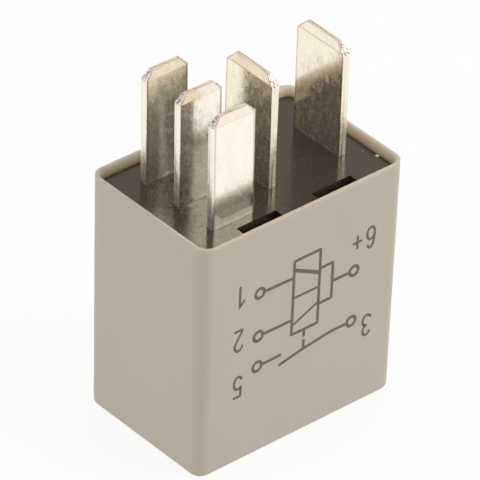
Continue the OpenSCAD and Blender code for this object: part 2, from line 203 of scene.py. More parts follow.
def joined(parts):
    """Points and faces of several (points, faces) pairs as one pair."""
    points, faces, count = [], [], 0
    for p, f in parts:
        p = np.asarray(p).reshape(-1, 3)
        points.append(p)
        faces += [np.asarray(q) + count for q in f]
        count += len(p)
    return np.concatenate(points), faces


# Materials

def tinted(colour, *shares):
    """The colour with its red, green and blue each multiplied by a share, or all by the one that is given."""
    return tuple(c * k for c, k in zip(colour, shares if len(shares) == 3 else shares * 3))


class Nodes:
    """Adds nodes to a material's tree."""

    def __init__(self, material):
        material.use_nodes = True
        self.material = material
        self.tree = material.node_tree

    def feed(self, socket, value):
        """Links an output socket to a socket, or sets its value."""
        if isinstance(value, bpy.types.NodeSocket):
            self.tree.links.new(value, socket)
        else:
            socket.default_value = value

    def add(self, kind, settings=None, **inputs):
        """New node with its settings, and with each named input set or linked."""
        node = self.tree.nodes.new(kind)
        for key, value in (settings or {}).items():
            setattr(node, key, value)
        for key, value in inputs.items():
            self.feed(node.inputs[key.replace("_", " ")], value)
        return node

    def math(self, how, a, b):
        """Result of a Math node on a and b, which are sockets or numbers."""
        node = self.add("ShaderNodeMath", {"operation": how})
        self.feed(node.inputs[0], a)
        self.feed(node.inputs[1], b)
        return node.outputs[0]

    def sum(self, a, b):
        return self.math("ADD", a, b)

    def times(self, a, b):
        return self.math("MULTIPLY", a, b)

    def larger(self, a, b):
        return self.math("MAXIMUM", a, b)

    def spread(self, value, low, high, to_low=0.0, to_high=1.0):
        """value carried from low..high to to_low..to_high, held at the ends."""
        node = self.add("ShaderNodeMapRange", {"clamp": True}, Value=value, From_Min=low, From_Max=high,
                        To_Min=to_low, To_Max=to_high)
        return node.outputs[0]


class Finish(Nodes):
    """A Principled material and the pattern nodes that feed it. Sizes are in mm, on Object coordinates."""

    def __init__(self, name, colour, **values):
        super().__init__(bpy.data.materials.new(name))
        self.material.diffuse_color = (*colour, 1)
        self.shader = self.tree.nodes["Principled BSDF"]
        for key, value in {"Base_Color": (*colour, 1), **values}.items():
            self.set(key, value)
        self.place = self.add("ShaderNodeTexCoord").outputs["Object"]

    def set(self, name, value):
        """Links an output socket to an input of the shader, or sets the input's value."""
        self.feed(self.shader.inputs[name.replace("_", " ")], value)

    def noise(self, size, stretch=(1, 1, 1), detail=2.0, rough=0.5, turn=None):
        """Smooth noise whose lumps are about size mm, longer along an axis where stretch is above 1.

        turn, in degrees about X, Y and Z, is applied before the stretch.
        """
        place = self.place
        if turn:
            place = self.add("ShaderNodeMapping", Vector=place, Rotation=np.radians(turn)).outputs[0]
        place = self.add("ShaderNodeMapping", Vector=place, Scale=[1 / s for s in stretch]).outputs[0]
        node = self.add("ShaderNodeTexNoise", Vector=place, Scale=1 / (size * MM), Detail=detail,
                        Roughness=rough)
        return node.outputs["Fac"]

    def cells(self, size):
        """Distance from the middle of the nearest of many cells about size mm wide."""
        node = self.add("ShaderNodeTexVoronoi", Vector=self.place, Scale=1 / (size * MM))
        return node.outputs["Distance"]

    def attribute(self, name):
        """Number that the mesh keeps at its points under this name."""
        return self.add("ShaderNodeAttribute", {"attribute_name": name}).outputs["Fac"]

    def blend(self, factor, a, b):
        """Colour a where factor is 0 and b where it is 1. A Mix node's colours are its inputs 6 and 7."""
        node = self.add("ShaderNodeMix", {"data_type": "RGBA"})
        self.feed(node.inputs[0], factor)
        for socket, colour in ((node.inputs[6], a), (node.inputs[7], b)):
            self.feed(socket, colour if isinstance(colour, bpy.types.NodeSocket) else (*colour, 1))
        return node.outputs[2]

    def bump(self, height, depth, under=None):
        """Bump of a height from 0 to 1 that stands for depth mm, on top of the bump that is under it."""
        node = self.add("ShaderNodeBump", Height=height, Distance=depth * MM)
        if under is not None:
            self.feed(node.inputs["Normal"], under)
        return node.outputs[0]


def moulded_grey(colour):
    """Grey moulded plastic: a spark-eroded grain, faint flow patches, a rim painted paler as a highlight, a
    painted glow of light inside the far walls and painted shade inside the near walls.
    """
    f = Finish("moulded_grey", colour, Roughness=0.42, IOR=1.5)
    flow = f.noise(5.0, (1, 1, 2.5), 2.0)
    fleck = f.noise(0.5, detail=3.0)
    depth = f.attribute("depth")
    warm = tinted(colour, 1.02, 1.0, 0.97)
    cool = tinted(colour, 0.975, 0.985, 0.985)
    tone = f.blend(f.spread(f.sum(flow, fleck), 0.8, 1.2), cool, warm)
    # Painted highlight: the rim is painted paler and pinker, for the light that falls on its top and rounded
    # edge
    tone = f.blend(f.attribute("rim"), tone, tinted(colour, 1.10, 1.03, 0.98))
    # Painted light: further down, the inside of the far walls is painted warmer and brighter, as light
    # glowing through the thin wall
    tone = f.blend(f.spread(depth, 0.05, 0.7), tone, tinted(colour, 1.50, 1.30, 1.0))
    # The depth is below 0 on the two near walls, whose inside is painted darker and cooler as shade
    tone = f.blend(f.spread(depth, -0.5, -0.02, 1.0, 0.0), tone, tinted(colour, 0.92, 0.95, 1.0))
    f.set("Base Color", tone)
    f.set("Roughness", f.spread(fleck, 0.35, 0.65, 0.38, 0.47))
    grain = f.bump(f.noise(0.09, detail=2.0), 0.0035)
    f.set("Normal", f.bump(f.noise(1.6, detail=1.0), 0.004, grain))
    return f.material


def glossy_black(colour, specks):
    """Glossy dark plastic: hazy patches, fine dust, slow waves and a few paler specks."""
    f = Finish("glossy_black", colour, Roughness=0.12, IOR=1.5, Specular_Tint=(1.0, 0.83, 0.60, 1),
               Specular_IOR_Level=0.5)
    cloud = f.noise(0.7, detail=4.0, rough=0.65)
    dust = f.spread(f.noise(0.3, detail=3.0, rough=0.7), 0.58, 0.78)
    tone = f.blend(f.spread(cloud, 0.35, 0.7), colour, tinted(colour, 0.75))
    tone = f.blend(dust, tone, tinted(colour, 2.0))
    rough = f.sum(f.spread(cloud, 0.35, 0.7, 0.09, 0.30), f.times(dust, 0.12))
    for x, y, r, speck in specks:
        place = f.add("ShaderNodeMapping", Vector=f.place, Location=(-x * MM, -y * MM, -PLATE_TOP * MM))
        far = f.add("ShaderNodeVectorMath", {"operation": "LENGTH"}, Vector=place.outputs[0])
        mark = f.spread(far.outputs["Value"], 0.75 * r * MM, r * MM, 1.0, 0.0)
        tone = f.blend(mark, tone, speck)
        rough = f.sum(rough, f.times(mark, 0.3))
    f.set("Base Color", tone)
    f.set("Roughness", rough)
    haze = f.bump(f.noise(0.25, (1, 3, 1), 3.0), 0.0020)
    f.set("Normal", f.bump(f.noise(0.9, detail=2.0), 0.006, haze))
    return f.material


def tinned_sheet(name, bright, dull, tear):
    """Hot-tinned strip: streaks, hairline scratches, mottled wear, torn edges and coined tips.

    tear is the colour of the tips' cropped corners, which are torn from face to face. The attribute torn is 0
    on the faces, up to 0.5 on the sheared edges and 1 on the cropped corners.
    """
    f = Finish(name, bright, Metallic=0.93, Roughness=0.15)
    streak = f.noise(0.10, (1, 1, 30), 3.0, 0.6)
    grain = f.noise(0.14, (1, 1, 1.8), 3.0, 0.65)
    cloud = f.noise(1.3, (1, 1, 1.8), 3.0, 0.55, (0, 0, 30))
    mottle = f.noise(0.6, (1, 1, 1.5), 4.0, 0.7, (10, 20, 15))
    down = f.spread(f.noise(0.07, (1, 1, 7), 3.0, 0.6, (38, 0, -45)), 0.54, 0.68)
    up = f.spread(f.noise(0.06, (1, 1, 5), 3.0, 0.6, (-52, 0, -45)), 0.55, 0.69)
    scratch = f.larger(down, up)
    fleck = f.spread(f.noise(0.32, (1, 1, 1.7), 2.0, 0.6, (20, 10, 40)), 0.46, 0.64)
    pits = f.spread(f.noise(0.3, (1, 1, 1), 2.0, 0.5, (25, 40, 10)), 0.54, 0.62)
    torn, coined, seam = (f.attribute(key) for key in ("torn", "coined", "seam"))
    cropped = f.spread(torn, 0.6, 0.95)

    tone = f.blend(f.spread(f.sum(cloud, f.times(grain, 0.5)), 0.66, 0.98), bright, dull)
    tone = f.blend(f.times(coined, 0.7), tone, COINED_TIN)
    tone = f.blend(f.times(torn, 0.8), tone, SHEARED_TIN)
    tone = f.blend(cropped, tone, tear)
    tone = f.blend(f.times(pits, cropped), tone, PIT_BROWN)
    f.set("Base Color", f.blend(f.times(seam, 0.6), tone, SEAM_BROWN))

    rough = f.sum(f.spread(grain, 0.42, 0.72, 0.07, 0.13), f.spread(mottle, 0.44, 0.70, 0.0, 0.19))
    rough = f.sum(rough, f.sum(f.times(scratch, 0.16), f.times(coined, 0.10)))
    rough = f.sum(rough, f.sum(f.spread(torn, 0, 0.5, 0, 0.18), f.spread(torn, 0.5, 1, 0, -0.16)))
    f.set("Roughness", rough)

    # Scratches and worn flecks scatter some light evenly, so that they show where the blade mirrors the dark.
    # They are stronger in clouds, and stay off the sheared edges
    worn = f.times(f.larger(scratch, fleck), f.spread(torn, 0.0, 0.3, -0.16, 0.0))
    worn = f.times(worn, f.spread(cloud, 0.42, 0.62, 0.4, 1.0))
    metal = f.sum(f.spread(torn, 0, 0.5, 0.95, 0.76), f.times(cropped, -0.24))
    f.set("Metallic", f.sum(metal, worn))

    chips = f.times(f.noise(0.42, (1, 1, 1.3), 1.5, 0.5), f.times(torn, torn))
    lengthwise = f.bump(streak, 0.0006, f.bump(chips, 0.16))
    pitted = f.bump(f.sum(grain, f.times(scratch, -0.25)), 0.0012, lengthwise)
    f.set("Normal", f.bump(cloud, 0.004, pitted))
    return f.material


def printing_ink(colour):
    """Printed ink: thin and slightly uneven, so that its tone varies along a line."""
    f = Finish("printing_ink", colour, Roughness=0.5)
    thin = f.spread(f.noise(0.35, detail=3.0), 0.35, 0.7)
    f.set("Base Color", f.blend(thin, colour, tinted(colour, 1.22)))
    f.set("Normal", f.bump(f.noise(0.08), 0.002))
    return f.material


def moulded_cream(colour):
    """Glass-filled cream plastic: pale fibres in a satin ground."""
    f = Finish("moulded_cream", colour, Roughness=0.45)
    fibre = f.noise(0.12, (6, 1, 1), 3.0, 0.7)
    f.set("Base Color", f.blend(f.spread(fibre, 0.4, 0.7), colour, tinted(colour, 0.86)))
    f.set("Roughness", f.spread(fibre, 0.3, 0.7, 0.36, 0.55))
    f.set("Normal", f.bump(fibre, 0.004))
    return f.material


def plated_iron(colour):
    """Nickel-plated soft iron: rolled grain under a satin plating, with faint clouds."""
    f = Finish("plated_iron", colour, Metallic=1.0, Roughness=0.3)
    grain = f.noise(0.1, (14, 1, 1), 3.0, 0.6)
    cloud = f.noise(1.8, detail=3.0)
    f.set("Base Color", f.blend(f.spread(cloud, 0.4, 0.7), colour, tinted(colour, 0.82)))
    f.set("Roughness", f.spread(f.sum(grain, cloud), 0.7, 1.3, 0.22, 0.42))
    f.set("Normal", f.bump(grain, 0.003))
    return f.material


def enamelled_copper(colour):
    """Copper wire under clear enamel: thin gaps between the turns painted darker as shade, and a slow change
    of tone.
    """
    f = Finish("enamelled_copper", colour, Metallic=1.0, Roughness=0.25, Coat_Weight=0.6, Coat_Roughness=0.12)
    turns = f.noise(0.2, (8, 8, 1), 2.0)
    cloud = f.noise(1.3, detail=2.0)
    # Painted shade in the thin gaps between the turns, mixed with a slow change of tone from the clouds
    f.set("Base Color", f.blend(f.spread(f.sum(turns, cloud), 0.75, 1.25), colour, tinted(colour, 0.62)))
    f.set("Roughness", f.spread(cloud, 0.3, 0.7, 0.2, 0.34))
    f.set("Normal", f.bump(turns, 0.006))
    return f.material


def rolled_bronze(colour):
    """Spring bronze strip, rolled lengthwise."""
    f = Finish("rolled_bronze", colour, Metallic=1.0, Roughness=0.24)
    roll = f.noise(0.08, (30, 1, 30), 3.0, 0.6)
    stain = f.noise(2.0, detail=4.0)
    f.set("Base Color", f.blend(f.spread(stain, 0.45, 0.75), colour, BRONZE_STAIN))
    f.set("Roughness", f.spread(roll, 0.3, 0.7, 0.17, 0.33))
    f.set("Normal", f.bump(roll, 0.002))
    return f.material


def contact_silver(colour):
    """Silver alloy: satin, with darker worn spots and small pits."""
    f = Finish("contact_silver", colour, Metallic=1.0, Roughness=0.22)
    tarnish = f.noise(0.7, detail=4.0, rough=0.6)
    f.set("Base Color", f.blend(f.spread(tarnish, 0.5, 0.75), colour, TARNISH))
    f.set("Roughness", f.spread(tarnish, 0.3, 0.7, 0.16, 0.4))
    f.set("Normal", f.bump(f.cells(0.22), 0.008))
    return f.material


def cast_solder(colour):
    """Soft solder: bright, wrinkled where it froze, with dull flux spots."""
    f = Finish("cast_solder", colour, Metallic=1.0, Roughness=0.2)
    wrinkle = f.noise(0.28, detail=3.0, rough=0.6)
    flux = f.noise(0.6, detail=2.0, turn=(50, 0, 20))
    f.set("Base Color", f.blend(f.spread(flux, 0.58, 0.72), colour, FLUX))
    f.set("Roughness", f.spread(wrinkle, 0.3, 0.7, 0.14, 0.36))
    f.set("Normal", f.bump(wrinkle, 0.03))
    return f.material


def white_paper():
    """White floor: it keeps the object's shadow, and is white in the picture, in reflections and in glass."""
    f = Nodes(bpy.data.materials.new("white_paper"))
    f.tree.nodes.clear()
    path = f.add("ShaderNodeLightPath").outputs
    seen = f.larger(f.larger(path["Is Camera Ray"], path["Is Glossy Ray"]), path["Is Transmission Ray"])
    paper = f.add("ShaderNodeBsdfDiffuse", Color=(0.9, 0.9, 0.9, 1))
    glow = f.add("ShaderNodeEmission", Strength=1.0)
    shown = f.add("ShaderNodeMixShader", Fac=f.spread(seen, 0, 1, 0.7, 0.9))
    f.feed(shown.inputs[1], paper.outputs[0])
    f.feed(shown.inputs[2], glow.outputs[0])
    f.add("ShaderNodeOutputMaterial", Surface=shown.outputs[0])
    return f.material


# The cap

def rounded_outline(half_l, half_w, r, corner_steps=24, side_steps=14):
    """Core points and outward directions round a rounded rectangle.

    A corner turns the direction about one core point, and a side moves the core with one direction.
    """
    core, out = [], []
    corners = [(1, 1, 0), (-1, 1, 90), (-1, -1, 180), (1, -1, 270)]
    for i, (sx, sy, a0) in enumerate(corners):
        here = np.array([sx * (half_l - r), sy * (half_w - r)])
        nx, ny, _ = corners[(i + 1) % 4]
        there = np.array([nx * (half_l - r), ny * (half_w - r)])
        turn = arc((0, 0), (1, 1), a0, a0 + 90, corner_steps)
        core.append(np.repeat(here[None], corner_steps, 0))
        out.append(turn)
        t = np.linspace(0, 1, side_steps + 2)[1:-1, None]
        core.append(here + (there - here) * t)
        out.append(np.repeat(turn[-1:], side_steps, 0))
    return np.concatenate(core), np.concatenate(out)


def outer_reach(z):
    """How far the outer face is from the corner axes at a height: it leans in towards the closed end."""
    return CORNER_R - DRAFT * (1 - np.asarray(z) / CAP_H)


def cap_section(rim_round, foot_round):
    """The wall's section as rows of (share of the core, distance out, height), up outside and down inside.

    The share runs from 0 at the middle of the closed end to 1 at the wall, stays 1 over the rim and down the
    inside, and returns to 0 on the inner floor, so both ends close in a point. Rows a hair apart keep an edge
    crisp.
    """
    hair = 0.03
    lip_deep = CAP_H - PLATE_TOP - 0.05
    top_in = outer_reach(CAP_H) - RIM_WALL
    seat_in = outer_reach(PLATE_UNDER) - RIM_WALL - hair
    body_in = outer_reach(PLATE_UNDER) - BODY_WALL
    floor_in = outer_reach(FLOOR_T) - BODY_WALL - FLOOR_FILLET
    wall_z = np.array([foot_round + 0.02, 3.0, 8.0, 14.0, 19.0, CAP_H - rim_round - 0.6,
                       CAP_H - rim_round - hair])
    wall = np.concatenate([
        [[outer_reach(0) - foot_round - 0.04, 0.0]],
        arc((outer_reach(0) - foot_round, foot_round), (foot_round, foot_round), -90, 0, 10),
        np.column_stack([outer_reach(wall_z), wall_z]),
        arc((outer_reach(CAP_H) - rim_round, CAP_H - rim_round), (rim_round, rim_round), 0, 90, 12),
        arc((top_in + LIP_WIDE, CAP_H - lip_deep), (LIP_WIDE, lip_deep), 90, 180, 16),
        [[top_in, CAP_H - lip_deep - hair], [seat_in, PLATE_UNDER + hair], [seat_in, PLATE_UNDER],
         [body_in, PLATE_UNDER], [body_in, PLATE_UNDER - hair],
         [floor_in, FLOOR_T + hair], [floor_in, FLOOR_T], [0.0, FLOOR_T]]])
    closed_end = [(share, 0.0, 0.0) for share in (0.0, 0.5, 0.9, 1.0)]
    inner_floor = [(share, 0.0, FLOOR_T) for share in (0.9, 0.5, 0.0)]
    return np.concatenate([closed_end, np.insert(wall, 0, 1.0, axis=1), inner_floor])


def cap_shell(rim_round, foot_round):
    """Closed thin shell: a section carried round the outline, point = core * share + direction * distance.

    Also returned are how near each point is to the rim and, for the inside, its depth below it, which is
    counted down from 0 on the two near walls.
    """
    section = cap_section(rim_round, foot_round)
    core, out = rounded_outline(HALF_L, HALF_W, CORNER_R)
    share, reach, z = section[:, 0, None, None], section[:, 1, None, None], section[:, 2, None]
    flat = core[None] * share + out[None] * reach
    points = np.concatenate([flat, np.broadcast_to(z, flat.shape[:2])[..., None]], axis=-1)
    rows, columns = points.shape[:2]
    # The first and last rows are single points, joined to their neighbours by triangles
    body = points[1:-1].reshape(-1, 3)
    first, last = len(body), len(body) + 1
    i = np.arange(columns)
    j = (i + 1) % columns
    base = (rows - 3) * columns
    bottom = np.stack([np.full(columns, first), j, i], axis=-1)
    inside = np.stack([np.full(columns, last), base + i, base + j], axis=-1)
    faces = [*grid_faces(rows - 2, columns, loop_columns=True), *bottom, *inside]
    points = np.concatenate([body, points[0, :1], points[-1, :1]])
    height = points[:, 2]
    near_rim = np.clip((height - (CAP_H - 0.5)) / 0.4, 0, 1)
    within = np.repeat(section[1:-1, 1], columns) < outer_reach(body[:, 2]) - 0.5 * RIM_WALL
    inner = np.append(within, [False, True]) & (height > 0.5 * FLOOR_T)
    far_side = np.append(np.tile(np.clip(out.sum(axis=1), -1, 1), rows - 2), [1.0, 1.0])
    return points, faces, near_rim, np.where(inner, CAP_H - height, 0.0) * far_side


def latch_nose(x, side):
    """Wedge on the wall's inside: its section, in steps out from the wall and up, is carried along X."""
    out, up = np.array([[0.2, 0], [-0.6, 0], [-0.6, 0.15], [-0.05, 0.85], [0.2, 0.85]]).T
    y = side * (HALF_W - RIM_WALL + out)
    z = PLATE_UNDER + NOSE_LIFT + up
    both_ends = (x - NOSE_HALF, x + NOSE_HALF)
    points = np.concatenate([np.column_stack([np.full(len(y), end_x), y, z]) for end_x in both_ends])
    ends = [range(len(y))[::-1], range(len(y), 2 * len(y))]
    faces = [*grid_faces(2, len(y), loop_columns=True), *ends]
    return points, turned_over(faces) if side > 0 else faces


# Bent strips, such as the blades

def strip_section(steps=5):
    """Once round a sheared strip's section: (side, distance in from that side, share of the thickness).

    One face meets the edge in a wide rolled-over round, and the other in a small sharp one. Between them the
    edge is smooth for the first part and torn, leaning inwards, for the rest, which leaves a ridge along it.
    Also returned are how torn each point is, and whether it is on a seam between edge and face.
    """
    edge = np.concatenate([
        [[0.36, -0.5], [0.25, -0.5]],
        arc((0.22, -0.34), (0.22, 0.16), 270, 180, steps + 2),
        [[0.0, -0.30], [0.0, 0.0], [0.0, 0.10]],
        [[0.012, 0.135], [0.035, 0.17], [0.05, 0.25], [0.06, 0.38]],
        arc((0.12, 0.44), (0.06, 0.06), 180, 90, steps),
        [[0.15, 0.5], [0.20, 0.5], [0.36, 0.5]]])
    inset, level = edge.T
    torn = (0.35 + 0.15 * (level > 0.12)) * (inset < 0.13) * (np.abs(level) < 0.47)
    seam = 1.0 * (inset > 0.11) * (inset < 0.26) * (np.abs(level) > 0.47)
    right = np.column_stack([np.ones(len(edge)), edge])
    left = np.column_stack([-np.ones(len(edge)), edge])[::-1]
    return np.concatenate([right, left]), np.append(torn, torn[::-1]), np.append(seam, seam[::-1])


def strip(centre, across, through, low, high, thickness, to_tip, crop, crease):
    """Strip carried along a path: point = centre + across * width place + through * thickness place.

    centre, across and through have one row for each place on the path; low and high are where its two
    sides lie across it. The section's rounds shrink with the thickness, so that a coined tip keeps its shape.
    to_tip is each row's distance from the tip: within crop of it the edges are torn from face to face, and
    within COIN it is coined. crease, from 0 to 1, is how much the line where the coining starts shows.
    """
    section, torn, seam = strip_section()
    side, inset, level = section.T
    rows, columns = len(centre), len(section)
    low, high, thickness, to_tip = (np.asarray(a)[:, None] for a in (low, high, thickness, to_tip))
    inset_here = inset * thickness / BLADE_T
    place = np.where(side > 0, high - inset_here, low + inset_here)
    depth = level * thickness
    points = centre[:, None] + across[:, None] * place[..., None] + through[:, None] * depth[..., None]
    ends = [range(columns)[::-1], range((rows - 1) * columns, rows * columns)]
    torn = np.maximum(torn, (to_tip < crop + 0.01) * (inset < 0.13))
    seam = np.maximum(seam, crease * (np.abs(to_tip - COIN) < 0.06))
    seam = np.maximum(seam, 0.8 * (to_tip < 0.015))
    coined = np.broadcast_to(to_tip < COIN - 0.01, torn.shape)
    values = {"torn": torn, "seam": seam, "coined": coined}
    return points.reshape(-1, 3), [*grid_faces(rows, columns, loop_columns=True), *ends], values


def by_height(z, table):
    """A value at each height z, read between the (height, value) rows of a table."""
    heights, values = np.transpose(table)
    return np.interp(z, heights, values)


# Thickness by height: a blade swells by its slot's fit where it is pressed in, and thins at its tip
BLADE_LEVELS = [
    (PLATE_UNDER + 0.03, BLADE_T),
    (PLATE_UNDER + 0.1, BLADE_T + PRESS_FIT),
    (PLATE_TOP - 0.01, BLADE_T + PRESS_FIT),
    (PLATE_TOP + RUN_OUT, BLADE_T),
    (BLADE_TOP - COIN, BLADE_T),
    (BLADE_TOP, TIP_T)]
PRESSED = [z for z, thickness in BLADE_LEVELS[:4]]


def blade_rows(levels, creases, exact, gap=0.05):
    """Heights of a blade's rows, sorted: the levels, close extra ones round each crease, and the exact ones.

    The extra rows keep the flats beside a crease flat. None lies past the first or the last level.
    """
    extra = [c + k * gap for c in creases for k in (-2, -1, 0, 1, 2)]
    z = np.unique(np.round(np.concatenate([levels, extra]), 5))
    z = z[(z >= levels[0]) & (z <= levels[-1])]
    return np.sort(np.concatenate([z, PRESSED, exact]))


def coil_blade(y, lean):
    """Narrow blade from its tip to the tail that its wire is soldered to. Only width and thickness change.

    lean is how far its tip stands off square, in X and Y, as blades do after use. It grows evenly from the
    plate up.
    """
    top, under, tail = BLADE_TOP, PLATE_UNDER, 16.3
    shoulder_half, shoulder_low, neck_low = 2.8, under - 0.5, under - 0.9
    tail_half, tail_crop = 0.65, 0.3
    levels = np.concatenate([np.linspace(tail, under, 12), np.linspace(under, top, 60)])
    creases = [top - TIP_EDGE, top - COIN, top - NARROW_CROP, shoulder_low, neck_low, tail + tail_crop]
    z = blade_rows(levels, creases, [under + STEP])
    half = by_height(z, [
        (tail, tail_half - tail_crop), (tail + tail_crop, tail_half), (neck_low, tail_half),
        (shoulder_low, shoulder_half), (under, shoulder_half), (under + STEP, NARROW_HALF),
        (top - NARROW_CROP, NARROW_HALF), (top, NARROW_HALF - NARROW_CROP)])
    off = np.clip((z - PLATE_TOP) / (top - PLATE_TOP), 0, 1)
    centre = np.column_stack([COIL_BLADE_X + lean[0] * off, y + lean[1] * off, z])
    across = np.tile([1.0, 0, 0], (len(z), 1))
    through = np.tile([0, 1.0, 0], (len(z), 1))
    thickness = by_height(z, BLADE_LEVELS)
    points, faces, values = strip(centre, across, through, -half, half, thickness, top - z, NARROW_CROP, 0.3)
    return points, turned_over(faces), values


def path_frame(path):
    """Centre, across and through of a path of (x, z) points: across is Y, through is the path's normal."""
    ahead = unit(np.gradient(path, axis=0))
    still = np.zeros(len(path))
    centre = np.column_stack([path[:, 0], still, path[:, 1]])
    across = np.tile([0, 1.0, 0], (len(path), 1))
    through = np.column_stack([ahead[:, 1], still, -ahead[:, 0]])
    return centre, across, through


def wide_blade_top(x, low, bend, exact=()):
    """A wide blade's path from its tip straight down to the height low, then round a bend towards -X."""
    top = BLADE_TOP
    creases = [top - TIP_EDGE, top - COIN, top - WIDE_CROP]
    down = blade_rows(np.linspace(low, top, 64), creases, exact)[::-1]
    return np.concatenate([np.column_stack([np.full(len(down), x), down]),
                           arc((x - bend, low), (bend, bend), 0, -90, 9)[1:]])


def contact_blade():
    """Wide middle blade: down from its tip, flat under the plate, down by the coil and in to the contact."""
    bend, flat_z = 0.6, PLATE_UNDER - 0.65
    leg_bend, leg_x, foot_z = 0.8, -9.6, 5.4
    leg_low, leg_high, taper_x, leg_width_x = -3.7, -0.8, -1.15, -2.4
    foot_high, nose_x, foot_end = 1.7, -6.4, -5.7
    turn_x = leg_x + leg_bend
    path = np.concatenate([
        wide_blade_top(CONTACT_BLADE_X, flat_z + bend, bend),
        spaced([(CONTACT_BLADE_X - bend, flat_z), (taper_x - 0.02, flat_z), (leg_width_x, flat_z),
                (turn_x, flat_z)], 0.6)[1:],
        arc((turn_x, flat_z - leg_bend), (leg_bend, leg_bend), 90, 180, 9)[1:],
        spaced([(leg_x, flat_z - leg_bend), (leg_x, foot_z + leg_bend)], 2.0)[1:],
        arc((turn_x, foot_z + leg_bend), (leg_bend, leg_bend), 180, 270, 9)[1:],
        spaced([(turn_x, foot_z), (turn_x + 0.02, foot_z), (nose_x, foot_z), (foot_end, foot_z)], 0.5)[1:]])
    x, z = path.T
    # It narrows along the flat run, and widens again to one side on its foot, whose end is cropped
    foot = (z <= foot_z + 1e-6) & (x > turn_x + 0.01)
    crop = np.clip(z - (BLADE_TOP - WIDE_CROP), 0, None) + np.clip(x - nose_x, 0, None) * foot
    low = np.interp(x, [leg_width_x, taper_x], [leg_low, -WIDE_HALF]) + crop
    high = np.where(foot, foot_high, np.interp(x, [leg_width_x, taper_x], [leg_high, WIDE_HALF])) - crop
    return strip(*path_frame(path), low, high, by_height(z, BLADE_LEVELS), BLADE_TOP - z, WIDE_CROP, 1.0)


def common_blade():
    """Wide outer blade: down from its tip to a shoulder under the plate, then turned flat onto the yoke."""
    bend, shoulder_half, foot_end = 0.6, 3.55, 5.0
    foot_z = YOKE_TOP + BLADE_T / 2
    low = foot_z + bend
    path = np.concatenate([
        wide_blade_top(COMMON_BLADE_X, low, bend, [PLATE_UNDER, PLATE_UNDER + STEP]),
        spaced([(COMMON_BLADE_X - bend, foot_z), (foot_end, foot_z)], 0.7)[1:]])
    z = path[:, 1]
    half = by_height(z, [
        (low - STEP, WIDE_HALF), (low, shoulder_half), (PLATE_UNDER, shoulder_half),
        (PLATE_UNDER + STEP, WIDE_HALF), (BLADE_TOP - WIDE_CROP, WIDE_HALF),
        (BLADE_TOP, WIDE_HALF - WIDE_CROP)])
    return strip(*path_frame(path), -half, half, by_height(z, BLADE_LEVELS), BLADE_TOP - z, WIDE_CROP, 1.0)


# The printed circuit diagram, in mm on the front wall: x along the wall and z up it

LINE = 0.32
FINE_LINE = 0.26
THICK_LINE = 0.38
INK_LIFT = 0.006
INK_STEP = 0.0006
INK_DEEP = 0.03
MARK_R = 0.5
COIL_BOX = (-1.13, 11.48, 1.90, 19.48)
SIDE_BOX = (1.90, 13.56, 3.42, 17.41)
MARKS = [(-5.06, 17.81), (-5.04, 13.13), (-5.02, 9.80), (5.99, 15.33), (5.97, 9.78)]
DIGIT_PLACES = {"1": (-7.23, 18.33), "2": (-7.30, 13.63), "5": (-7.21, 8.54), "3": (7.84, 8.52),
                "6": (7.81, 18.20), "+": (6.24, 18.30)}


def digit_strokes(digit):
    """Centre lines of a numeral 2.2 mm tall, upright, about its own middle, as (points, closed).

    Each curve is part of an ellipse.
    """
    if digit == "1":
        return [([(-0.34, 0.50), (0.12, 1.1), (0.12, -1.1)], False)]
    if digit == "2":
        hook = arc((0, 0.55), (0.44, 0.55), 165, -28, 20)
        return [(np.concatenate([hook, [(-0.44, -1.1), (0.46, -1.1)]]), False)]
    if digit == "3":
        upper = arc((-0.02, 0.57), (0.41, 0.53), 155, -90, 22)
        lower = arc((-0.02, -0.53), (0.46, 0.57), 90, -155, 24)
        return [(np.concatenate([upper, lower[1:]]), False)]
    if digit == "5":
        bowl = arc((-0.02, -0.42), (0.46, 0.68), 128, -150, 24)
        return [(np.concatenate([[(0.40, 1.1), (-0.34, 1.1), (-0.38, 0.06)], bowl]), False)]
    if digit == "6":
        bowl = arc((0, -0.45), (0.44, 0.65), 0, 360, 33)[:-1]
        return [(bowl, True), (arc((0.05, -0.35), (0.49, 1.45), 178, 55, 18), False)]
    return [([(-0.45, 0), (0.45, 0)], False), ([(0, -0.62), (0, 0.62)], False)]


def diagram_strokes():
    """Every line of the diagram as (points, width, closed)."""
    x0, z0, x1, z1 = COIL_BOX
    u0, v0, u1, v1 = SIDE_BOX
    boxes = [([(x0, z0), (x1, z0), (x1, z1), (x0, z1)], LINE, True),
             ([(u0, v1), (u1, v1), (u1, v0), (u0, v0)], LINE, False)]
    coil = [([(x0, 18.54), (x1, 16.98)], THICK_LINE, False),
            ([(x0, 15.45), (x1, 15.45)], FINE_LINE, False),
            ([(x0, 12.44), (x1, 13.80)], FINE_LINE, False)]
    wires = [[(-4.56, 17.78), (x0, 17.70)],
             [(-4.54, 13.13), (x0, 13.10)],
             [(u1, 15.35), (5.49, 15.33)],
             [(-4.52, 9.81), (-2.35, 9.83)],
             [(-2.37, 8.77), (0.36, 9.32), (3.40, 9.74), (5.47, 9.77)],
             [(0.33, 11.48), (0.35, 10.80)],
             [(0.34, 10.21), (0.36, 9.36)]]
    marks = [(arc(centre, (MARK_R, MARK_R), 0, 360, 41)[:-1], LINE, True) for centre in MARKS]
    return boxes + coil + [(points, LINE, False) for points in wires] + marks


def numeral_strokes(width):
    """Every line of the numerals as (points, width, closed), turned upside down in its place."""
    return [(np.array(place) - np.asarray(points), width, closed)
            for digit, place in DIGIT_PLACES.items() for points, closed in digit_strokes(digit)]


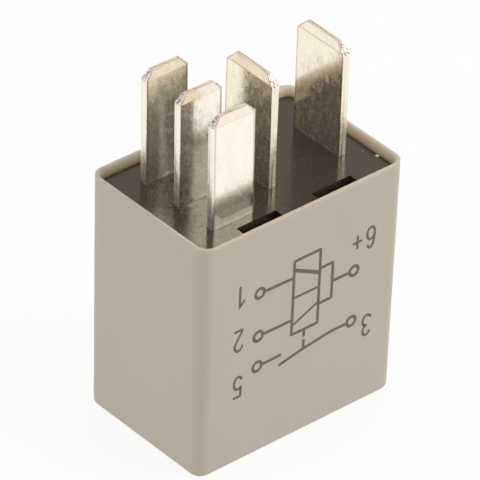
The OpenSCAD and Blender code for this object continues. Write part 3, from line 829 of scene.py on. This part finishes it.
def ribbon(points, width, closed, lift):
    """Flat line of ink on the front wall: a rectangle carried along its centre line, with rounded ends.

    Near an open end the half width is the height of a half circle, and on the wall a point (x, z) lies at
    y = -(half width of the cap - draft * (1 - z / height)).
    """
    points = np.asarray(points, float)
    half = width / 2
    if closed:
        line = spaced(np.concatenate([points, points[:1]]), 0.25)[:-1]
        ahead = np.roll(line, -1, 0) - np.roll(line, 1, 0)
        reach = np.full(len(line), half)
    else:
        line = spaced(points, 0.25)
        first = line[0] - unit(line[1] - line[0]) * np.array([[half], [0.7 * half], [0.0]])
        last = line[-1] + unit(line[-1] - line[-2]) * np.array([[0.0], [0.7 * half], [half]])
        line = np.concatenate([first, line[1:-1], last])
        ahead = np.gradient(line, axis=0)
        reach = np.full(len(line), half)
        reach[[0, -1]] = 0.15 * half
        reach[[1, -2]] = 0.72 * half
    ahead = unit(ahead)
    side = np.column_stack([-ahead[:, 1], ahead[:, 0]]) * reach[:, None]
    left, right = line + side, line - side
    x, z = np.moveaxis(np.stack([left, right, right, left], axis=1), -1, 0)
    wall = -(HALF_W - DRAFT * (1 - z / CAP_H))
    y = wall - np.array([lift, lift, lift - INK_DEEP, lift - INK_DEEP])
    rows = len(line)
    faces = turned_over(grid_faces(rows, 4, loop_rows=closed, loop_columns=True))
    if not closed:
        faces += [range(4), range(4 * rows)[:-5:-1]]
    return np.stack([x, y, z], axis=-1).reshape(-1, 3), faces


def printed(name, strokes, material):
    """Piece of ink. Each line lies a hair above the one before it, so that no two lie in one plane."""
    points, faces = joined(ribbon(*stroke, INK_LIFT + INK_STEP * k) for k, stroke in enumerate(strokes))
    make_piece(name, points, faces, material, flat=True)


# Windings

def winding(centre, inner, outer, low, high, pitch):
    """Layer of wire: a scalloped section, one bulge for each turn, revolved about the coil's axis."""
    turns = max(2, int(round((high - low) / pitch)))
    t = np.linspace(0, turns, turns * 5 + 1)
    bulge = 0.35 * pitch * (1 - np.abs(np.sin(np.pi * t)))
    outside = np.column_stack([outer - bulge, low + (high - low) * t / turns])
    r, z = np.concatenate([[[inner, low]], outside, [[inner, high]]]).T
    a = np.radians(np.linspace(0, 360, 73)[:-1])[:, None]
    points = np.stack([centre + r * np.cos(a), r * np.sin(a), np.broadcast_to(z, (len(a), len(z)))], axis=-1)
    faces = grid_faces(len(a), len(z), loop_rows=True, loop_columns=True)
    return points.reshape(-1, 3), turned_over(faces)


# Changed copies of CAD nodes

def merged_copy(name, node, material, work):
    """Copy of a CAD node with its loose triangles merged, which work(b) then goes on with as a bmesh."""
    mesh = NODES[node].data.copy()
    mesh.name = name
    mesh.materials.clear()
    mesh.materials.append(material)
    b = bmesh.new()
    b.from_mesh(mesh)
    bmesh.ops.remove_doubles(b, verts=b.verts, dist=1e-6)
    work(b)
    b.to_mesh(mesh)
    b.free()
    piece = linked(name, mesh)
    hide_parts(node)
    return piece


def softened_copy(name, node, material, width):
    """Copy of a CAD node of the housing with flat faces and its edges broken by a narrow bevel."""
    def flatten(b):
        bmesh.ops.dissolve_limit(b, angle_limit=0.01, verts=b.verts, edges=b.edges)
        for face in b.faces:
            face.smooth = False

    piece = merged_copy(name, node, material, flatten)
    bevel = piece.modifiers.new("Broken edges", "BEVEL")
    bevel.width = width
    bevel.segments = 2
    bevel.limit_method = "ANGLE"
    bevel.angle_limit = np.radians(30)
    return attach(piece, "housing")


def bending_copy(name, node, material, top, bottom, cuts=14):
    """Copy of a CAD node that is cut across between the heights top and bottom, in mm.

    The cuts lie at even steps between these heights, and its faces are shaded smooth.
    """
    def slice_across(b):
        for level in np.linspace(top, bottom, cuts) * MM:
            bmesh.ops.bisect_plane(b, geom=[*b.verts, *b.edges, *b.faces], dist=1e-7,
                                   plane_co=(0, 0, level), plane_no=(0, 0, 1))
        for face in b.faces:
            face.smooth = True

    piece = merged_copy(name, node, material, slice_across)
    # The copy's own normals would no longer fit its cut faces
    if piece.data.attributes.get("custom_normal"):
        piece.data.attributes.remove(piece.data.attributes["custom_normal"])
    piece.data.set_sharp_from_angle(angle=SHARP)
    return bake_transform(piece)


def finish_nodes(material, *nodes):
    """Gives CAD nodes their finish."""
    for node in nodes:
        slots = NODES[node].data.materials
        slots.clear()
        slots.append(material)


# The stage

LAMPS = {"key": ((0.541, -0.613, 0.59), 0.5), "top": ((0.05, 0.0, 1.2), 0.9),
         "back": ((0.65, 0.74, 0.705), 1.4), "fill": ((-0.92, 0.23, 0.30), 0.8)}
LIT_POINT = Vector((0, 0, 0.015))
FLOOR_HALF = 3.0


def add_floor():
    """Wide white floor at height 0."""
    mesh = bpy.data.meshes.new("floor")
    r = FLOOR_HALF
    mesh.from_pydata([(-r, -r, 0), (r, -r, 0), (r, r, 0), (-r, r, 0)], [], [(0, 1, 2, 3)])
    mesh.materials.append(white_paper())
    floor = linked("floor", mesh)


def add_sky(scene, strength):
    """Even white light from all round."""
    scene.world = bpy.data.worlds.new("studio")
    scene.world.use_nodes = True
    back = scene.world.node_tree.nodes["Background"]
    back.inputs["Color"].default_value = (1, 1, 1, 1)
    back.inputs["Strength"].default_value = strength


def add_lamp(name, place, size, power):
    """Square soft light that faces the object."""
    light = bpy.data.lights.new(name, "AREA")
    light.size = size
    light.energy = power
    lamp = linked(name, light)
    lamp.location = place
    lamp.rotation_euler = (LIT_POINT - Vector(place)).to_track_quat("-Z", "Y").to_euler()


def add_camera(scene, place, aim, roll, lens):
    """Camera that looks from place to aim, turned by roll about its own axis."""
    data = bpy.data.cameras.new("camera")
    data.sensor_width = 36
    data.lens = lens
    camera = linked("camera", data)
    turn = (Vector(aim) - Vector(place)).to_track_quat("-Z", "Y").to_matrix().to_4x4()
    camera.matrix_world = Matrix.Translation(Vector(place)) @ turn @ Matrix.Rotation(roll, 4, "Z")
    scene.camera = camera


# Settings

COLOUR = {"subtype": "COLOR", "size": 3, "min": 0, "max": 1}
LENGTH = {"subtype": "DISTANCE", "unit": "LENGTH"}
PLACE = {"subtype": "XYZ", "unit": "LENGTH", "size": 3}
POWER = {"subtype": "POWER", "unit": "POWER", "min": 0, "max": 200}


class RelayHousingSettings(bpy.types.PropertyGroup):
    """Sizes and colours of the cap and the base plate"""
    cap_colour: FloatVectorProperty(
        name="Cap colour", description="Colour of the moulded cap", default=(0.480, 0.428, 0.350), **COLOUR)
    plate_colour: FloatVectorProperty(
        name="Base plate colour", description="Colour of the glossy base plate",
        default=(0.033, 0.026, 0.017), **COLOUR)
    rim_round: FloatProperty(
        name="Rim rounding", description="Radius of the rim's outer edge",
        min=0.0001, max=0.00018, default=0.00015, **LENGTH)
    foot_round: FloatProperty(
        name="Closed end rounding", description="Radius of the edge round the closed end",
        min=0.0002, max=0.0008, default=0.0005, **LENGTH)
    plate_bevel: FloatProperty(
        name="Base plate edges", description="Width of the broken edges of the base plate",
        min=0.00001, max=0.0001, default=0.00002, **LENGTH)


class RelayMetalSettings(bpy.types.PropertyGroup):
    """Colours of the metals and the pitch of the windings"""
    tin_colour: FloatVectorProperty(
        name="Tin colour", description="Bright tin on the blades", default=(0.995, 0.95, 0.83), **COLOUR)
    dull_tin_colour: FloatVectorProperty(
        name="Dull tin colour", description="Worn tin on the blades", default=(0.94, 0.885, 0.765), **COLOUR)
    iron_colour: FloatVectorProperty(
        name="Iron colour", description="Plated iron of the magnet", default=(0.62, 0.61, 0.58), **COLOUR)
    copper_colour: FloatVectorProperty(
        name="Copper colour", description="Enamelled copper wire", default=(0.78, 0.33, 0.14), **COLOUR)
    wire_pitch: FloatProperty(
        name="Winding pitch", description="Distance between two turns of the windings",
        min=0.0001, max=0.0005, default=0.00022, **LENGTH)


class RelayPrintSettings(bpy.types.PropertyGroup):
    """Colour and line width of the printed marks"""
    ink_colour: FloatVectorProperty(
        name="Ink colour", description="Colour of the printed diagram",
        default=(0.122, 0.090, 0.060), **COLOUR)
    digit_line: FloatProperty(
        name="Numeral line", description="Line width of the numerals",
        min=0.0001, max=0.0004, default=0.00027, **LENGTH)


class RelayStageSettings(bpy.types.PropertyGroup):
    """Place of the camera and strength of the light"""
    lens: FloatProperty(
        name="Focal length", description="Focal length of the camera on a 36 mm sensor",
        subtype="DISTANCE_CAMERA", unit="CAMERA", min=50, max=600, default=444.27)
    camera_place: FloatVectorProperty(
        name="Camera place", description="Where the camera stands",
        default=(-0.28391, -0.31973, 0.32008), **PLACE)
    camera_aim: FloatVectorProperty(
        name="Camera aim", description="Point in the middle of the picture",
        default=(0.001165, 0.002057, 0.015257), **PLACE)
    camera_roll: FloatProperty(
        name="Camera roll", description="Turn of the camera about its own axis",
        subtype="ANGLE", default=float(np.radians(1.972)))
    sky: FloatProperty(
        name="Sky light", description="Strength of the even light from all round", min=0, max=3, default=0.37)
    key_power: FloatProperty(
        name="Key light", description="Power of the soft light at the right", default=4.0, **POWER)
    top_power: FloatProperty(
        name="Top light", description="Power of the soft light overhead", default=6.2, **POWER)
    back_power: FloatProperty(
        name="Back light", description="Power of the soft light behind", default=3.6, **POWER)
    fill_power: FloatProperty(
        name="Fill light", description="Power of the soft light at the left", default=2.1, **POWER)


# Operators

class RELAY_OT_cap(bpy.types.Operator):
    """Adds the moulded cap: a thin shell carried round the rounded outline, and its four latch noses"""
    bl_idname = "relay.cap"
    bl_label = "Add Cap"

    def execute(self, context):
        s = context.scene.relay_housing
        points, faces, rim, depth = cap_shell(s.rim_round / MM, s.foot_round / MM)
        noses = [latch_nose(NOSE_MIDDLE + sx * NOSE_OFF_MIDDLE, sy) for sx in (-1, 1) for sy in (-1, 1)]
        shell = len(points)
        points, faces = joined([(points, faces), *noses])
        rest = len(points) - shell
        # A depth below 0 gives the noses the painted shade, darker and cooler, that the inside of the near
        # walls has
        values = {"rim": np.append(rim, np.zeros(rest)), "depth": np.append(depth, np.full(rest, -1.5))}
        make_piece("cap_shell", points, faces, moulded_grey(s.cap_colour), ["cap"], values)
        return {"FINISHED"}


class RELAY_OT_base_plate(bpy.types.Operator):
    """Adds the glossy base plate, with broken edges"""
    bl_idname = "relay.base_plate"
    bl_label = "Add Base Plate"

    def execute(self, context):
        s = context.scene.relay_housing
        finish = glossy_black(s.plate_colour, DUST)
        softened_copy("plate", "base_plate", finish, s.plate_bevel)
        return {"FINISHED"}


class RELAY_OT_blades(bpy.types.Operator):
    """Adds the five tinned blades, each a sheared strip carried along its path"""
    bl_idname = "relay.blades"
    bl_label = "Add Blades"

    def execute(self, context):
        s = context.scene.relay_metal
        tin = tinned_sheet("tinned_sheet", s.tin_colour, s.dull_tin_colour, PALE_TEAR)
        warm, warm_dull = (tinted(colour, 0.99, 0.955, 0.90) for colour in (s.tin_colour, s.dull_tin_colour))
        warm_tin = tinned_sheet("warm_tinned_sheet", warm, warm_dull, DULL_TEAR)
        for node, shape, finish in (
                ("terminal_1", coil_blade(-COIL_BLADE_OFF, (-0.2, 0.0)), tin),
                ("terminal_2", coil_blade(COIL_BLADE_OFF, (-0.1, 0.17)), tin),
                ("terminal_6", coil_blade(0.0, (-0.2, 0.0)), tin),
                ("terminal_5", contact_blade(), warm_tin),
                ("terminal_3", common_blade(), warm_tin)):
            points, faces, values = shape
            make_piece("blade_" + node[-1], points, faces, finish, [node], values)
        finish_nodes(tin, "rest_stop")
        return {"FINISHED"}


class RELAY_OT_diagram(bpy.types.Operator):
    """Prints the circuit diagram and its plain numerals on the front wall, upside down as the relay stands"""
    bl_idname = "relay.diagram"
    bl_label = "Add Printed Diagram"

    def execute(self, context):
        s = context.scene.relay_print
        ink = printing_ink(s.ink_colour)
        printed("printed_diagram", diagram_strokes(), ink)
        printed("printed_numerals", numeral_strokes(s.digit_line / MM), ink)
        return {"FINISHED"}


class RELAY_OT_coil(bpy.types.Operator):
    """Adds the two windings and finishes the former, the iron, the leads and the solder"""
    bl_idname = "relay.coil"
    bl_label = "Add Coil"

    def execute(self, context):
        s = context.scene.relay_metal
        copper = enamelled_copper(s.copper_colour)
        for node, name in (("first_winding", "inner_wire"), ("second_winding", "outer_wire")):
            low, high = box_mm(node)
            centre, outer = (low[0] + high[0]) / 2, (high[0] - low[0]) / 2
            points, faces = winding(centre, WINDING_INSIDE[node], outer, low[2], high[2], s.wire_pitch / MM)
            make_piece(name, points, faces, copper, [node])
        finish_nodes(copper, "first_lead", "second_lead", "common_leads")
        finish_nodes(moulded_cream(CREAM), "bobbin")
        finish_nodes(plated_iron(s.iron_colour), "core", "yoke", "yoke_rivets")
        finish_nodes(cast_solder(SOLDER), "solder_joints")
        return {"FINISHED"}


class RELAY_OT_switch(bpy.types.Operator):
    """Finishes the armature and contacts, and adds a copy of the leaf spring, cut across where it leaves the
    yoke
    """
    bl_idname = "relay.switch"
    bl_label = "Finish Switch"

    def execute(self, context):
        s = context.scene.relay_metal
        finish_nodes(plated_iron(s.iron_colour), "armature", "armature_rivets")
        # The leaf is free from under the rivets on the yoke down to its heel, and is cut across between them
        rivet_foot = float(box_mm("yoke_rivets")[0][2])
        heel = HINGE_Z - 0.3
        leaf = bending_copy("leaf_spring", "contact_spring", rolled_bronze(BRONZE), rivet_foot, heel)
        finish_nodes(contact_silver(SILVER), "moving_contact", "fixed_contact")
        return {"FINISHED"}


class RELAY_OT_stage(bpy.types.Operator):
    """Adds the white floor, the soft light and the camera"""
    bl_idname = "relay.stage"
    bl_label = "Add Stage"

    def execute(self, context):
        scene = context.scene
        s = scene.relay_stage
        add_floor()
        add_sky(scene, s.sky)
        for name, (place, size) in LAMPS.items():
            add_lamp(name + "_light", place, size, getattr(s, name + "_power"))
        add_camera(scene, s.camera_place, s.camera_aim, s.camera_roll, s.lens)
        scene.view_settings.view_transform = "Standard"
        return {"FINISHED"}


GROUPS = {"relay_housing": RelayHousingSettings, "relay_metal": RelayMetalSettings,
          "relay_print": RelayPrintSettings, "relay_stage": RelayStageSettings}
OPERATORS = (RELAY_OT_cap, RELAY_OT_base_plate, RELAY_OT_blades, RELAY_OT_diagram, RELAY_OT_coil,
             RELAY_OT_switch, RELAY_OT_stage)


class RELAY_PT_sidebar(bpy.types.Panel):
    """Sizes, colours and the operators that build the relay"""
    bl_idname = "RELAY_PT_sidebar"
    bl_label = "Automotive Relay"
    bl_space_type = "VIEW_3D"
    bl_region_type = "UI"
    bl_category = "Relay"

    def draw(self, context):
        for name, group in GROUPS.items():
            box = self.layout.box()
            for key in group.__annotations__:
                box.prop(getattr(context.scene, name), key)
        for operator in OPERATORS:
            self.layout.operator(operator.bl_idname)


def register():
    for cls in (*GROUPS.values(), *OPERATORS, RELAY_PT_sidebar):
        bpy.utils.register_class(cls)
    for name, group in GROUPS.items():
        setattr(bpy.types.Scene, name, bpy.props.PointerProperty(type=group))


def unregister():
    for name in GROUPS:
        delattr(bpy.types.Scene, name)
    for cls in (RELAY_PT_sidebar, *reversed(OPERATORS), *reversed(GROUPS.values())):
        bpy.utils.unregister_class(cls)


def main():
    register()
    bpy.ops.relay.cap()
    bpy.ops.relay.base_plate()
    bpy.ops.relay.blades()
    bpy.ops.relay.diagram()
    bpy.ops.relay.coil()
    bpy.ops.relay.switch()
    bpy.ops.relay.stage()


if __name__ == "__main__":
    main()
